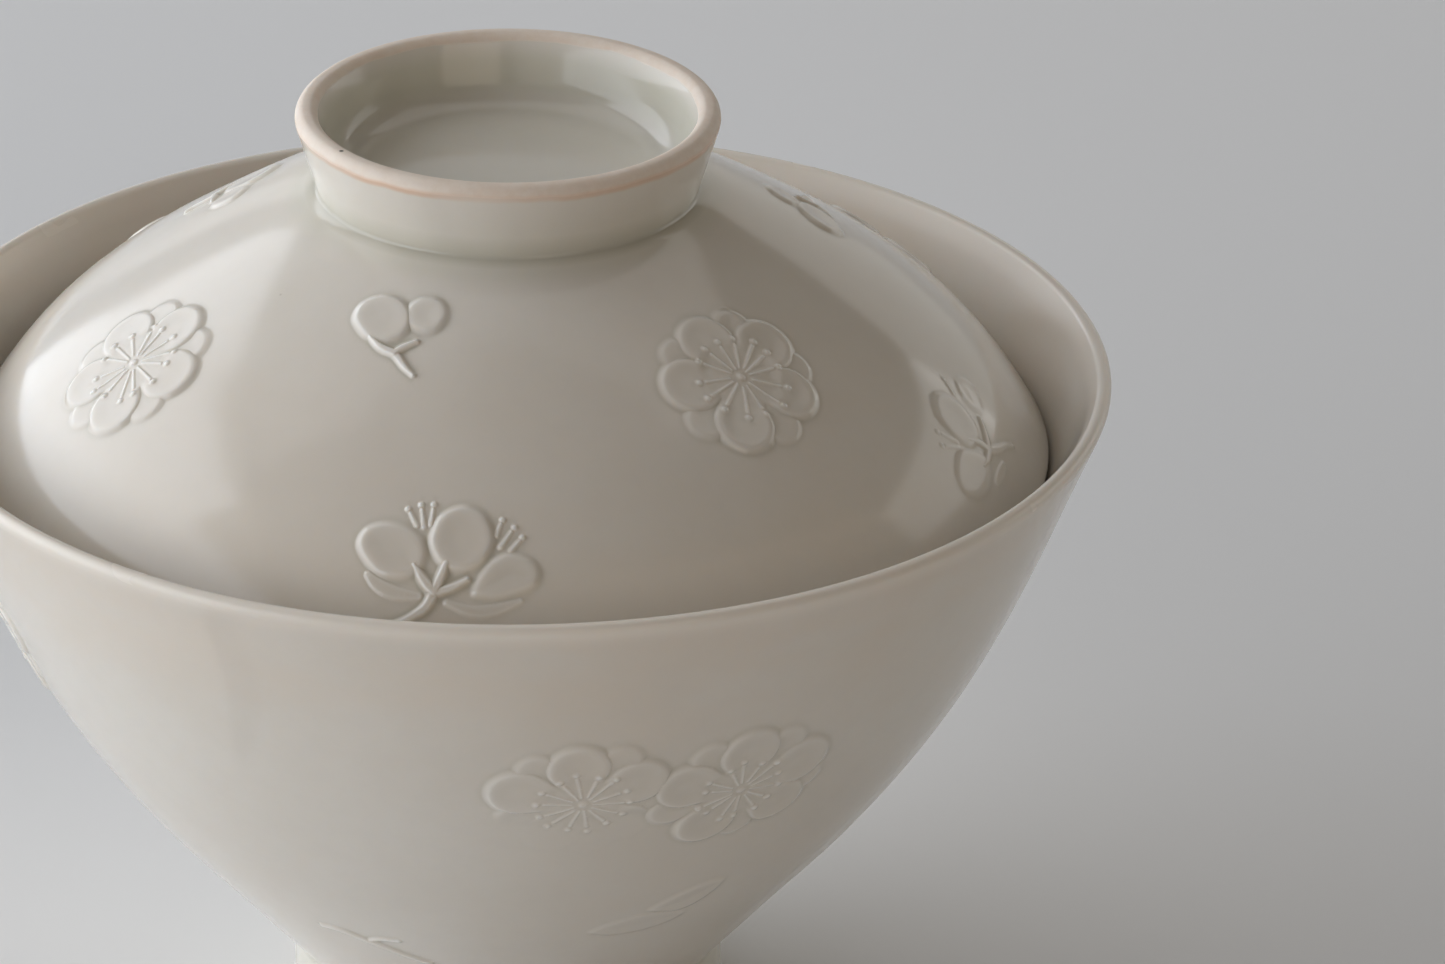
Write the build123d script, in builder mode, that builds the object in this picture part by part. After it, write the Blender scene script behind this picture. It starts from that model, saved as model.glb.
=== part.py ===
"""Lidded rice bowl (futa-chawan) in white porcelain.

A thin conical bowl on a turned foot ring, and a domed lid with a ring knob that
sits inside the bowl's mouth.  Plum-blossom sprigs are laid on both outer walls.
Millimetres.  +Z up, origin at the centre of the foot ring's standing face.
"""
from math import atan2, cos, degrees, hypot, pi, radians, sin
import os

from build123d import *

# ---------------------------------------------------------------- driving sizes
RIM_Z = 70.0            # height of the centre of the bowl's rounded lip
LIP_R = 59.23           # radius of that centre circle; the mouth is 120 mm over the lip
LIP_A = 0.77            # lip rounding
FOOT_OUT = 21.9         # foot ring, outer radius at the bottom
FOOT_IN = 19.4          # foot ring, inner radius at the bottom
FOOT_FLAT = (20.2, 21.2)  # ground flat that the bowl stands on
RECESS_Z = 5.7          # depth of the hollow under the bowl
FLOOR_Z = 10.8          # inside bottom of the bowl

KNOB_R = 19.73          # centre circle of the knob ring's rounded rim
KNOB_Z = 97.33
KNOB_A = 1.18           # rounding of the knob ring's rim
KNOB_FLAT = 0.33        # half width of the flat ground on top of the ring

SPRIG_H = 0.32          # height of the front petals, sepals and stems
SPRIG_LOW = 0.18        # height of the rear petals
LID_LIFT = 60.0         # travel of the lid that clears the bowl

# Outer wall of the bowl, from the crease above the foot ring to the lip.
BOWL_OUT = [(22.0, 8.6), (24.6, 11.7), (27.2, 14.7), (29.9, 17.9), (33.45, 22.0),
            (36.84, 26.0), (39.97, 30.0), (42.83, 34.0), (45.43, 38.0), (47.8, 42.0),
            (49.93, 46.0), (51.87, 50.0), (53.64, 54.0), (55.28, 58.0), (56.84, 62.0),
            (58.43, 66.0), (59.946, 69.72)]
# Inner wall of the bowl, from the lip down to the middle of its floor.
BOWL_IN = [(58.53, 70.32), (56.5, 66.2), (54.58, 62.4), (52.42, 58.0), (50.45, 54.0),
           (48.4, 50.0), (46.2, 46.0), (43.85, 42.0), (41.25, 38.0), (38.4, 34.0),
           (35.25, 30.0), (31.8, 26.0), (28.0, 22.2), (23.4, 18.3), (18.0, 14.9),
           (12.0, 12.3), (6.0, 11.1), (0.0, FLOOR_Z)]
# Outer wall of the lid, from the crease under the knob ring to the lid's edge.
LID_OUT = [(19.2, 90.1), (20.6, 89.46), (22.3, 88.66), (25.76, 86.84), (29.2, 84.86), (32.67, 82.76),
           (36.1, 80.58), (39.6, 78.28), (43.0, 75.73), (46.5, 72.70), (49.96, 68.82),
           (51.7, 66.4), (53.0, 64.27), (53.85, 62.8)]
# Inner wall of the lid, from its edge up to the middle of the crown.
LID_IN = [(51.956, 61.681), (50.95, 63.4), (49.78, 65.14), (48.19, 67.35), (44.88, 71.07),
          (41.57, 73.93), (38.28, 76.40), (34.85, 78.65), (31.46, 80.80), (28.03, 82.88),
          (24.65, 84.83), (21.28, 86.50), (17.5, 87.75), (12.5, 88.45), (6.0, 88.75),
          (0.0, 88.8)]


def offset_points(points, height, side):
    """The same wall moved outwards by height; side is +1 for the lid, -1 for the bowl."""
    moved = []
    for i, (r, z) in enumerate(points):
        (r0, z0), (r1, z1) = points[max(i - 1, 0)], points[min(i + 1, len(points) - 1)]
        run = hypot(r1 - r0, z1 - z0)
        moved.append((r + side * height * (z0 - z1) / run, z + side * height * (r1 - r0) / run))
    return moved


def on_wall(points, azimuth, z, side):
    """Plane touching a wall at an azimuth (degrees) and height: x round it, y up it."""
    for (r0, z0), (r1, z1) in zip(points, points[1:]):
        if min(z0, z1) <= z <= max(z0, z1):
            r = r0 + (r1 - r0) * (z - z0) / (z1 - z0)
            run = hypot(r1 - r0, z1 - z0)
            nr, nz = side * (z0 - z1) / run, side * (r1 - r0) / run
            break
    a = radians(azimuth)
    return Plane(origin=(r * cos(a), r * sin(a), z), x_dir=(-sin(a), cos(a), 0),
                 z_dir=(nr * cos(a), nr * sin(a), nz))


os.makedirs("parts", exist_ok=True)

# ---------------------------------------------------------------- bowl
with BuildPart() as bowl:
    with BuildSketch(Plane.XZ) as bowl_section:
        with BuildLine():
            Spline(*BOWL_OUT)
            ThreePointArc(BOWL_OUT[-1], (LIP_R, RIM_Z + LIP_A), BOWL_IN[0])
            Spline(*BOWL_IN)
            Polyline((0, FLOOR_Z), (0, RECESS_Z + 0.4), (8.0, RECESS_Z + 0.3))
            Line((8.0, RECESS_Z + 0.3), (16.8, RECESS_Z))
            ThreePointArc((16.8, RECESS_Z), (18.35, 5.1), (19.0, 3.9))
            Line((19.0, 3.9), (FOOT_IN, 0.8))
            ThreePointArc((FOOT_IN, 0.8), (19.65, 0.22), (FOOT_FLAT[0], 0))
            Line((FOOT_FLAT[0], 0), (FOOT_FLAT[1], 0))
            ThreePointArc((FOOT_FLAT[1], 0), (21.72, 0.24), (FOOT_OUT, 0.8))
            Line((FOOT_OUT, 0.8), (21.86, 7.9))
            ThreePointArc((21.86, 7.9), (21.88, 8.32), BOWL_OUT[0])
        make_face()
    revolve(axis=Axis.Z)
bowl.part.label = "bowl"
export_step(bowl.part, "parts/bowl.step")

# ---------------------------------------------------------------- lid
# The edge is a 1.1 mm rounding that rests 0.3 mm off the bowl's inner wall.
with BuildPart() as lid:
    with BuildSketch(Plane.XZ) as lid_section:
        with BuildLine():
            Spline(*LID_OUT)
            ThreePointArc(LID_OUT[-1], (53.1, 61.172), LID_IN[0])
            Spline(*LID_IN)
            Line((0, 88.8), (0, 91.95))
            ThreePointArc((0, 91.95), (7.5, 91.88), (13.9, 91.75))
            ThreePointArc((13.9, 91.75), (16.55, 92.75), (17.75, 94.9))
            Line((17.75, 94.9), (18.598, 97.663))
            ThreePointArc((18.598, 97.663), (18.9, 98.165), (KNOB_R - KNOB_FLAT, 98.463))
            Line((KNOB_R - KNOB_FLAT, 98.463), (KNOB_R + KNOB_FLAT, 98.463))
            ThreePointArc((KNOB_R + KNOB_FLAT, 98.463), (20.72, 97.975), (20.856, 96.977))
            Line((20.856, 96.977), (18.91, 90.7))
            ThreePointArc((18.91, 90.7), (18.93, 90.34), LID_OUT[0])
        make_face()
    revolve(axis=Axis.Z)
lid.part.label = "lid"
export_step(lid.part, "parts/lid.step")


# ---------------------------------------------------------------- sprig layers
# A thin skin on each wall; a sprig is the piece of the skin inside its outline.
def skin(points, height, side):
    with BuildPart() as layer:
        with BuildSketch(Plane.XZ):
            with BuildLine():
                outer = offset_points(points, height, side)
                Spline(*points)
                Line(points[-1], outer[-1])
                Spline(*reversed(outer))
                Line(outer[0], points[0])
            make_face()
        revolve(axis=Axis.Z)
    return layer.part


lid_skin = skin(LID_OUT, SPRIG_H, 1)
lid_skin_low = skin(LID_OUT, SPRIG_LOW, 1)
bowl_skin = skin(BOWL_OUT, SPRIG_H, -1)
bowl_skin_low = skin(BOWL_OUT, SPRIG_LOW, -1)


# ---------------------------------------------------------------- outlines
# Motif coordinates: x round the wall, y up it, in millimetres from the motif's centre.
def blossom_rear(turn, keep=range(5)):
    for i in keep:
        a = radians(turn + 36 + 72 * i)
        with Locations((6.2 * cos(a), 6.2 * sin(a))):
            Circle(2.3)


def blossom_front(turn, keep=range(5)):
    Circle(3.9)
    for i in keep:
        a = turn + 72 * i
        with Locations(Location((5.25 * cos(radians(a)), 5.25 * sin(radians(a)), 0), (0, 0, a))):
            Ellipse(3.25, 3.25)


def twig(points, widths):
    """A stem or sepal: round-ended strokes from point to point, growing thinner."""
    for (p, w), (q, v) in zip(zip(points, widths), list(zip(points, widths))[1:]):
        d = degrees(atan2(q[1] - p[1], q[0] - p[0]))
        run = hypot(q[0] - p[0], q[1] - p[1])
        with Locations(Location(((p[0] + q[0]) / 2, (p[1] + q[1]) / 2, 0), (0, 0, d))):
            SlotCenterToCenter(run, (w + v) / 2)


def side_petals():
    for x, y, a, b, t in [(-4.4, 3.95, 3.45, 2.75, -22), (2.15, 5.45, 3.05, 3.35, 0),
                          (6.65, 2.05, 3.3, 2.2, 16)]:
        with Locations(Location((x, y, 0), (0, 0, t))):
            Ellipse(a, b)


def side_sepals():
    twig([(0, 0), (-1.95, 2.3)], [0.95, 0.8])
    twig([(0, 0), (0.85, 2.65)], [0.95, 0.8])
    twig([(0, 0), (2.7, 1.3)], [0.95, 0.8])
    twig([(0, 0), (-0.6, -1.4), (-1.8, -2.45), (-3.3, -3.7)], [1.1, 0.95, 0.8, 0.7])


def side_cups():
    """The lower rims of the petals, seen edge on."""
    twig([(-5.3, 0.7), (-3.7, -0.3), (-1.5, -0.5)], [0.7, 0.7, 0.6])
    twig([(1.5, -0.9), (3.7, -1.55), (5.8, -1.1)], [0.6, 0.7, 0.7])


def bud_petals():
    with Locations(Location((-2.35, 3.25, 0), (0, 0, 12))):
        Ellipse(3.05, 2.65)
    with Locations(Location((1.85, 4.55, 0), (0, 0, 0))):
        Ellipse(2.15, 2.15)


def bud_stem():
    twig([(0.2, -0.2), (-1.39, 0.15), (-2.7, 0.95)], [0.8, 0.75, 0.6])
    twig([(0.2, -0.2), (0.95, 0.5), (1.85, 1.2)], [0.75, 0.7, 0.6])
    twig([(0.2, -0.2), (0.85, -0.85), (1.86, -1.78), (2.8, -2.4)], [0.8, 0.7, 0.6, 0.45])


def turned(plane, turn):
    return plane.rotated((0, 0, turn))


REACH = 6.0             # how far each outline is pushed both ways through the skin

# ---------------------------------------------------------------- sprigs on the lid
LID_BLOSSOMS = [(-50.1, 81.3, 98.6), (-155.4, 78.1, 162.0), (86.0, 80.6, 20.0)]
LID_SIDES = [(-98.1, 69.3, 0.0), (-20.4, 69.3, 35.0), (36.0, 71.0, -20.0), (137.0, 70.0, 30.0)]
LID_BUDS = [(-111.7, 84.6, 0.0), (20.0, 82.6, -35.0), (156.0, 83.4, 25.0)]

with BuildPart() as lid_blossom_rears:
    for az, z, turn in LID_BLOSSOMS:
        with BuildSketch(on_wall(LID_OUT, az, z, 1)):
            blossom_rear(turn)
            blossom_front(turn)
    extrude(amount=REACH, both=True)
    add(lid_skin_low, mode=Mode.INTERSECT)
with BuildPart() as lid_blossoms:
    for az, z, turn in LID_BLOSSOMS:
        with BuildSketch(on_wall(LID_OUT, az, z, 1)):
            blossom_front(turn)
    extrude(amount=REACH, both=True)
    add(lid_skin, mode=Mode.INTERSECT)
    add(lid_blossom_rears.part)
lid_blossoms.part.label = "lid_plum_blossoms"
export_step(lid_blossoms.part, "parts/lid_plum_blossoms.step")

with BuildPart() as lid_side_low:
    for az, z, turn in LID_SIDES:
        with BuildSketch(turned(on_wall(LID_OUT, az, z, 1), turn)):
            side_petals()
            side_cups()
    extrude(amount=REACH, both=True)
    add(lid_skin_low, mode=Mode.INTERSECT)
with BuildPart() as lid_side_blossoms:
    for az, z, turn in LID_SIDES:
        with BuildSketch(turned(on_wall(LID_OUT, az, z, 1), turn)):
            side_sepals()
    extrude(amount=REACH, both=True)
    add(lid_skin, mode=Mode.INTERSECT)
    add(lid_side_low.part)
lid_side_blossoms.part.label = "lid_side_blossoms"
export_step(lid_side_blossoms.part, "parts/lid_side_blossoms.step")

with BuildPart() as lid_bud_low:
    for az, z, turn in LID_BUDS:
        with BuildSketch(turned(on_wall(LID_OUT, az, z, 1), turn)):
            bud_petals()
    extrude(amount=REACH, both=True)
    add(lid_skin_low, mode=Mode.INTERSECT)
with BuildPart() as lid_buds:
    for az, z, turn in LID_BUDS:
        with BuildSketch(turned(on_wall(LID_OUT, az, z, 1), turn)):
            bud_stem()
    extrude(amount=REACH, both=True)
    add(lid_skin, mode=Mode.INTERSECT)
    add(lid_bud_low.part)
lid_buds.part.label = "lid_plum_buds"
export_step(lid_buds.part, "parts/lid_plum_buds.step")

# ---------------------------------------------------------------- sprigs on the bowl
# A pair of open blossoms with a leafy spray below, four times round the wall.
BOWL_BLOSSOMS = [(-63.7, 46.3, 92.0), (-81.9, 47.3, 98.4), (-164.5, 49.5, 60.0),
                 (177.5, 46.6, 80.0), (118.0, 46.4, 92.0), (100.0, 47.6, 20.0),
                 (28.0, 46.4, 95.0), (9.5, 47.6, 60.0)]
BOWL_LEAVES = [(-67.7, 27.3, 0.0), (-172.0, 28.0, 15.0), (112.0, 27.6, -10.0), (21.0, 27.2, 10.0)]
BOWL_TWIGS = [(-112.4, 21.6, 0.0), (150.0, 22.0, 10.0), (66.0, 21.8, -8.0), (-12.0, 21.4, 5.0)]

with BuildPart() as bowl_blossom_rears:
    for az, z, turn in BOWL_BLOSSOMS:
        with BuildSketch(on_wall(BOWL_OUT, az, z, -1)):
            blossom_rear(turn)
            blossom_front(turn)
    extrude(amount=REACH, both=True)
    add(bowl_skin_low, mode=Mode.INTERSECT)
with BuildPart() as bowl_blossoms:
    for az, z, turn in BOWL_BLOSSOMS:
        with BuildSketch(on_wall(BOWL_OUT, az, z, -1)):
            blossom_front(turn)
    extrude(amount=REACH, both=True)
    add(bowl_skin, mode=Mode.INTERSECT)
    add(bowl_blossom_rears.part)
bowl_blossoms.part.label = "bowl_plum_blossoms"
export_step(bowl_blossoms.part, "parts/bowl_plum_blossoms.step")

with BuildPart() as bowl_leaves:
    for az, z, turn in BOWL_LEAVES:
        with BuildSketch(turned(on_wall(BOWL_OUT, az, z, -1), turn)):
            with Locations(Location((2.7, 2.95, 0), (0, 0, 28))):
                Ellipse(4.0, 2.4)
            with Locations(Location((-1.5, -1.6, 0), (0, 0, 6))):
                Ellipse(5.0, 2.1)
    for az, z, turn in BOWL_TWIGS:
        with BuildSketch(turned(on_wall(BOWL_OUT, az, z, -1), turn)):
            twig([(-5.8, 1.6), (-2.8, 1.6), (0, 0), (4.4, -3.1)], [0.7, 0.9, 1.0, 0.7])
    extrude(amount=REACH, both=True)
    add(bowl_skin_low, mode=Mode.INTERSECT)
bowl_leaves.part.label = "bowl_leaf_sprays"
export_step(bowl_leaves.part, "parts/bowl_leaf_sprays.step")
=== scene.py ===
"""Lidded porcelain rice bowl with plum-blossom relief: the looks, in the CAD model's frame.

Lengths are in millimetres in the making of the two meshes and are scaled to metres
when they become Blender meshes.
"""
import math

import bpy
import numpy as np
from mathutils import Matrix, Vector


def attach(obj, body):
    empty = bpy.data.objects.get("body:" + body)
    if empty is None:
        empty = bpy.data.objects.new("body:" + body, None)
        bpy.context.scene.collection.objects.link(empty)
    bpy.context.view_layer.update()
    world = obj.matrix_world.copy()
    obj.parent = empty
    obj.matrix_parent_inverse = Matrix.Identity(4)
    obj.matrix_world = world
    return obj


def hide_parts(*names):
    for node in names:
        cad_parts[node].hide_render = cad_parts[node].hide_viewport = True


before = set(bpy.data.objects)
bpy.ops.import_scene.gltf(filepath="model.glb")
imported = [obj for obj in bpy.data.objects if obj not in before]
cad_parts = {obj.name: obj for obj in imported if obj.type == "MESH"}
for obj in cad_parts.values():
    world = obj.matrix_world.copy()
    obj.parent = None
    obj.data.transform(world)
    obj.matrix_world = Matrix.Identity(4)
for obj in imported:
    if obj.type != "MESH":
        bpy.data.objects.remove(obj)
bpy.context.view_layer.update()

# ------------------------------------------------------------------ camera
F_PX, WIDE = 8000.0, 1445
PITCH, YAW, ROLL = 0.43928893903355404, 0.029604257468654558, 0.012485589518054747
cp, sp, cy, sy = math.cos(PITCH), math.sin(PITCH), math.cos(YAW), math.sin(YAW)
ahead = Vector((sy * cp, cy * cp, -sp))
right = Vector((cy, -sy, 0.0))
up = right.cross(ahead)
cam_x = right * math.cos(ROLL) + up * math.sin(ROLL)
cam_y = up * math.cos(ROLL) - right * math.sin(ROLL)
cam_data = bpy.data.cameras.new("camera")
cam_data.sensor_width = 36.0
cam_data.sensor_fit = "HORIZONTAL"
cam_data.lens = F_PX / WIDE * 36.0
cam_data.clip_start, cam_data.clip_end = 0.05, 60.0
cam = bpy.data.objects.new("camera", cam_data)
bpy.context.scene.collection.objects.link(cam)
place = Matrix((cam_x, cam_y, -ahead)).transposed().to_4x4()
place.translation = Vector((0.0, -0.72546, 0.39870))
cam.matrix_world = place
bpy.context.scene.camera = cam

# ------------------------------------------------------------------ wall profiles, as in the CAD
BOWL_OUT = [(22.0, 8.6), (24.6, 11.7), (27.2, 14.7), (29.9, 17.9), (33.45, 22.0),
            (36.84, 26.0), (39.97, 30.0), (42.83, 34.0), (45.43, 38.0), (47.8, 42.0),
            (49.93, 46.0), (51.87, 50.0), (53.64, 54.0), (55.28, 58.0), (56.84, 62.0),
            (58.43, 66.0), (59.946, 69.72)]
BOWL_IN = [(58.53, 70.32), (56.5, 66.2), (54.58, 62.4), (52.42, 58.0), (50.45, 54.0),
           (48.4, 50.0), (46.2, 46.0), (43.85, 42.0), (41.25, 38.0), (38.4, 34.0),
           (35.25, 30.0), (31.8, 26.0), (28.0, 22.2), (23.4, 18.3), (18.0, 14.9),
           (12.0, 12.3), (6.0, 11.1), (0.0, 10.8)]
LID_OUT = [(19.2, 90.1), (20.6, 89.46), (22.3, 88.66), (25.76, 86.84), (29.2, 84.86), (32.67, 82.76),
           (36.1, 80.58), (39.6, 78.28), (43.0, 75.73), (46.5, 72.70), (49.96, 68.82),
           (51.7, 66.4), (53.0, 64.27), (53.85, 62.8)]
LID_IN = [(51.956, 61.681), (50.95, 63.4), (49.78, 65.14), (48.19, 67.35), (44.88, 71.07),
          (41.57, 73.93), (38.28, 76.40), (34.85, 78.65), (31.46, 80.80), (28.03, 82.88),
          (24.65, 84.83), (21.28, 86.50), (17.5, 87.75), (12.5, 88.45), (6.0, 88.75),
          (0.0, 88.8)]


def spline(points, step=0.04):
    """Cubic spline through the points, with chord lengths for its parameter and free ends."""
    p = np.array(points, float)
    s = np.r_[0, np.cumsum(np.hypot(*np.diff(p, axis=0).T))]
    n, h = len(p), np.diff(s)
    a, b = np.zeros((n, n)), np.zeros((n, 2))
    for i in range(1, n - 1):
        a[i, i - 1:i + 2] = h[i - 1], 2 * (h[i - 1] + h[i]), h[i]
        b[i] = 6 * ((p[i + 1] - p[i]) / h[i] - (p[i] - p[i - 1]) / h[i - 1])
    a[0, :3] = h[1], -(h[0] + h[1]), h[0]
    a[-1, -3:] = h[-1], -(h[-2] + h[-1]), h[-2]
    m = np.linalg.solve(a, b)
    x = np.linspace(0, s[-1], max(3, int(s[-1] / step)))
    k = np.clip(np.searchsorted(s, x, side="right") - 1, 0, n - 2)
    u, w = (x - s[k])[:, None], (s[k + 1] - x)[:, None]
    g = h[k][:, None]
    return (m[k] * w ** 3 + m[k + 1] * u ** 3) / (6 * g) + (p[k] / g - m[k] * g / 6) * w \
        + (p[k + 1] / g - m[k + 1] * g / 6) * u


def line(a, b, step=0.04):
    n = max(2, int(math.dist(a, b) / step))
    return np.linspace(a, b, n)


def arc(a, b, c, step=0.04):
    """Circular arc from a through b to c."""
    (ax, ay), (bx, by), (cx, cyy) = a, b, c
    d = 2 * (ax * (by - cyy) + bx * (cyy - ay) + cx * (ay - by))
    ux = ((ax ** 2 + ay ** 2) * (by - cyy) + (bx ** 2 + by ** 2) * (cyy - ay) + (cx ** 2 + cyy ** 2) * (ay - by)) / d
    uy = ((ax ** 2 + ay ** 2) * (cx - bx) + (bx ** 2 + by ** 2) * (ax - cx) + (cx ** 2 + cyy ** 2) * (bx - ax)) / d
    r = math.hypot(ax - ux, ay - uy)
    t0, t1, t2 = (math.atan2(y - uy, x - ux) for x, y in (a, b, c))
    span = (t2 - t0) % (2 * math.pi)
    if (t1 - t0) % (2 * math.pi) > span:
        span -= 2 * math.pi
    t = np.linspace(t0, t0 + span, max(4, int(abs(span) * r / step)))
    return np.c_[ux + r * np.cos(t), uy + r * np.sin(t)]


bowl_path = [
    line((0, 6.1), (8.0, 6.0)), line((8.0, 6.0), (16.8, 5.7)),
    arc((16.8, 5.7), (18.35, 5.1), (19.0, 3.9)), line((19.0, 3.9), (19.4, 0.8)),
    arc((19.4, 0.8), (19.65, 0.22), (20.2, 0)), line((20.2, 0), (21.2, 0)),
    arc((21.2, 0), (21.72, 0.24), (21.9, 0.8)), line((21.9, 0.8), (21.86, 7.9)),
    arc((21.86, 7.9), (21.88, 8.32), (22.0, 8.6)), spline(BOWL_OUT),
    arc(BOWL_OUT[-1], (59.23, 70.77), BOWL_IN[0]), spline(BOWL_IN)]
lid_path = [
    spline(LID_IN[::-1]), arc(LID_IN[0], (53.1, 61.172), LID_OUT[-1]), spline(LID_OUT[::-1]),
    arc(LID_OUT[0], (18.93, 90.34), (18.91, 90.7)), line((18.91, 90.7), (20.856, 96.977)),
    arc((20.856, 96.977), (20.72, 97.975), (20.06, 98.463)), line((20.06, 98.463), (19.4, 98.463)),
    arc((19.4, 98.463), (18.9, 98.165), (18.598, 97.663)), line((18.598, 97.663), (17.75, 94.9)),
    arc((17.75, 94.9), (16.55, 92.75), (13.9, 91.75)), arc((13.9, 91.75), (7.5, 91.88), (0, 91.95))]


class Profile:
    """A closed turned shape's section, by length t along it; outward is on its right."""

    def __init__(self, path):
        pts = np.concatenate(path)
        keep = np.r_[True, np.hypot(*np.diff(pts, axis=0).T) > 1e-6]
        pts = pts[keep]
        self.t = np.r_[0, np.cumsum(np.hypot(*np.diff(pts, axis=0).T))]
        even = np.linspace(0, self.t[-1], int(self.t[-1] / 0.03))
        pts = np.c_[np.interp(even, self.t, pts[:, 0]), np.interp(even, self.t, pts[:, 1])]
        # A touch of rounding, as turned clay under glaze has, that leaves both ends in place.
        soft = pts.copy()
        for _ in range(12):
            soft[1:-1] = (soft[:-2] + 2 * soft[1:-1] + soft[2:]) / 4
        self.t, self.p = even, soft
        d = np.gradient(soft, even, axis=0)
        self.d = d / np.hypot(d[:, 0], d[:, 1])[:, None]
        turn = np.gradient(np.unwrap(np.arctan2(self.d[:, 1], self.d[:, 0])), even)
        k = np.exp(-np.linspace(-2.5, 2.5, 31) ** 2)
        self.bend = np.convolve(np.pad(turn, 15, "edge"), k / k.sum(), "valid")
        self.sharp = turn

    def at(self, t):
        return (np.interp(t, self.t, self.p[:, 0]), np.interp(t, self.t, self.p[:, 1]),
                np.interp(t, self.t, self.d[:, 0]), np.interp(t, self.t, self.d[:, 1]))

    def rings(self, longest, turn_deg):
        """Ring places: closer where the section turns."""
        out, t = [0.0], 0.0
        total = np.r_[0, np.cumsum((np.abs(self.sharp[1:]) + np.abs(self.sharp[:-1])) / 2 * np.diff(self.t))]
        while t < self.t[-1]:
            step = longest
            while step > 0.12:
                if np.interp(t + step, self.t, total) - np.interp(t, self.t, total) <= math.radians(turn_deg):
                    break
                step *= 0.8
            t += step
            out.append(min(t, self.t[-1]))
        if out[-1] - out[-2] < 0.5 * longest and len(out) > 3:
            del out[-2]
        return np.array(out)


bowl_profile, lid_profile = Profile(bowl_path), Profile(lid_path)


# ------------------------------------------------------------------ relief, in each motif's own plane
# u runs round the wall to the right as seen from outside, v runs down the wall.
def rise(d, lo, hi):
    x = np.clip((d - lo) / (hi - lo), 0, 1)
    return x * x * x * (x * (6 * x - 15) + 10)


def plate(d, high, dish=0.10):
    """A petal's height d inside its outline: rounded edge, faint raised rim, shallow dish."""
    h = high * rise(d, -0.42, 0.66)
    h = h + 0.10 * high * np.exp(-((d - 0.80) / 0.42) ** 2)
    return h - dish * rise(d, 0.8, 2.6)


def taper(u, v, a, b, ra, rb):
    """Distance inside a round-ended tapering stroke from a to b."""
    ax, ay = a
    dx, dy = b[0] - ax, b[1] - ay
    run = math.hypot(dx, dy)
    ex, ey = dx / run, dy / run
    y = (u - ax) * ex + (v - ay) * ey
    x = np.abs(-(u - ax) * ey + (v - ay) * ex)
    s = np.clip((ra - rb) / run, -0.95, 0.95)
    c = math.sqrt(1 - s * s)
    k = -s * x + c * y
    out = np.where(k < 0, np.hypot(x, y) - ra,
                   np.where(k > c * run, np.hypot(x, y - run) - rb, c * x + s * y - ra))
    return -out


def closed_curve(points, n=8):
    """A smooth closed outline through the points."""
    p = np.array(points, float)
    a, b, c, d = (np.roll(p, k, axis=0)[:, None] for k in (1, 0, -1, -2))
    x = (np.arange(n) / n)[None, :, None]
    out = 0.5 * (2 * b + (c - a) * x + (2 * a - 5 * b + 4 * c - d) * x ** 2
                 + (3 * b - a - 3 * c + d) * x ** 3)
    return out.reshape(-1, 2)


def inside(u, v, outline):
    """Distance inside a closed outline, negative outside it."""
    p = closed_curve(outline)
    q = np.roll(p, -1, axis=0)
    best = np.full(u.shape, 1e9)
    odd = np.zeros(u.shape, bool)
    for (x0, y0), (x1, y1) in zip(p, q):
        dx, dy = x1 - x0, y1 - y0
        k = np.clip(((u - x0) * dx + (v - y0) * dy) / (dx * dx + dy * dy + 1e-12), 0, 1)
        best = np.minimum(best, (u - x0 - k * dx) ** 2 + (v - y0 - k * dy) ** 2)
        odd ^= ((y0 > v) != (y1 > v)) & (u < (x1 - x0) * (v - y0) / (y1 - y0 + 1e-12) + x0)
    return np.where(odd, 1, -1) * np.sqrt(best)


def strokes(u, v, points, radii, high, edge=0.26):
    """A ridge along a run of points, rounded off between them."""
    if len(points) > 2:
        p = np.c_[np.array(points, float), np.array(radii, float)]
        p = np.r_[[2 * p[0] - p[1]], p, [2 * p[-1] - p[-2]]]
        run = []
        for a, b, c, d in zip(p, p[1:], p[2:], p[3:]):
            for x in (0.0, 0.34, 0.67):
                run.append(0.5 * (2 * b + (c - a) * x + (2 * a - 5 * b + 4 * c - d) * x ** 2 + (3 * b - a - 3 * c + d) * x ** 3))
        run.append(p[-2])
        points, radii = [tuple(q[:2]) for q in run], [q[2] for q in run]
    h = np.zeros_like(u)
    for a, b, ra, rb in zip(points, points[1:], radii, radii[1:]):
        h = np.maximum(h, high * rise(taper(u, v, a, b, ra, rb), -0.24, edge + 0.06))
    return h


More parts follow.
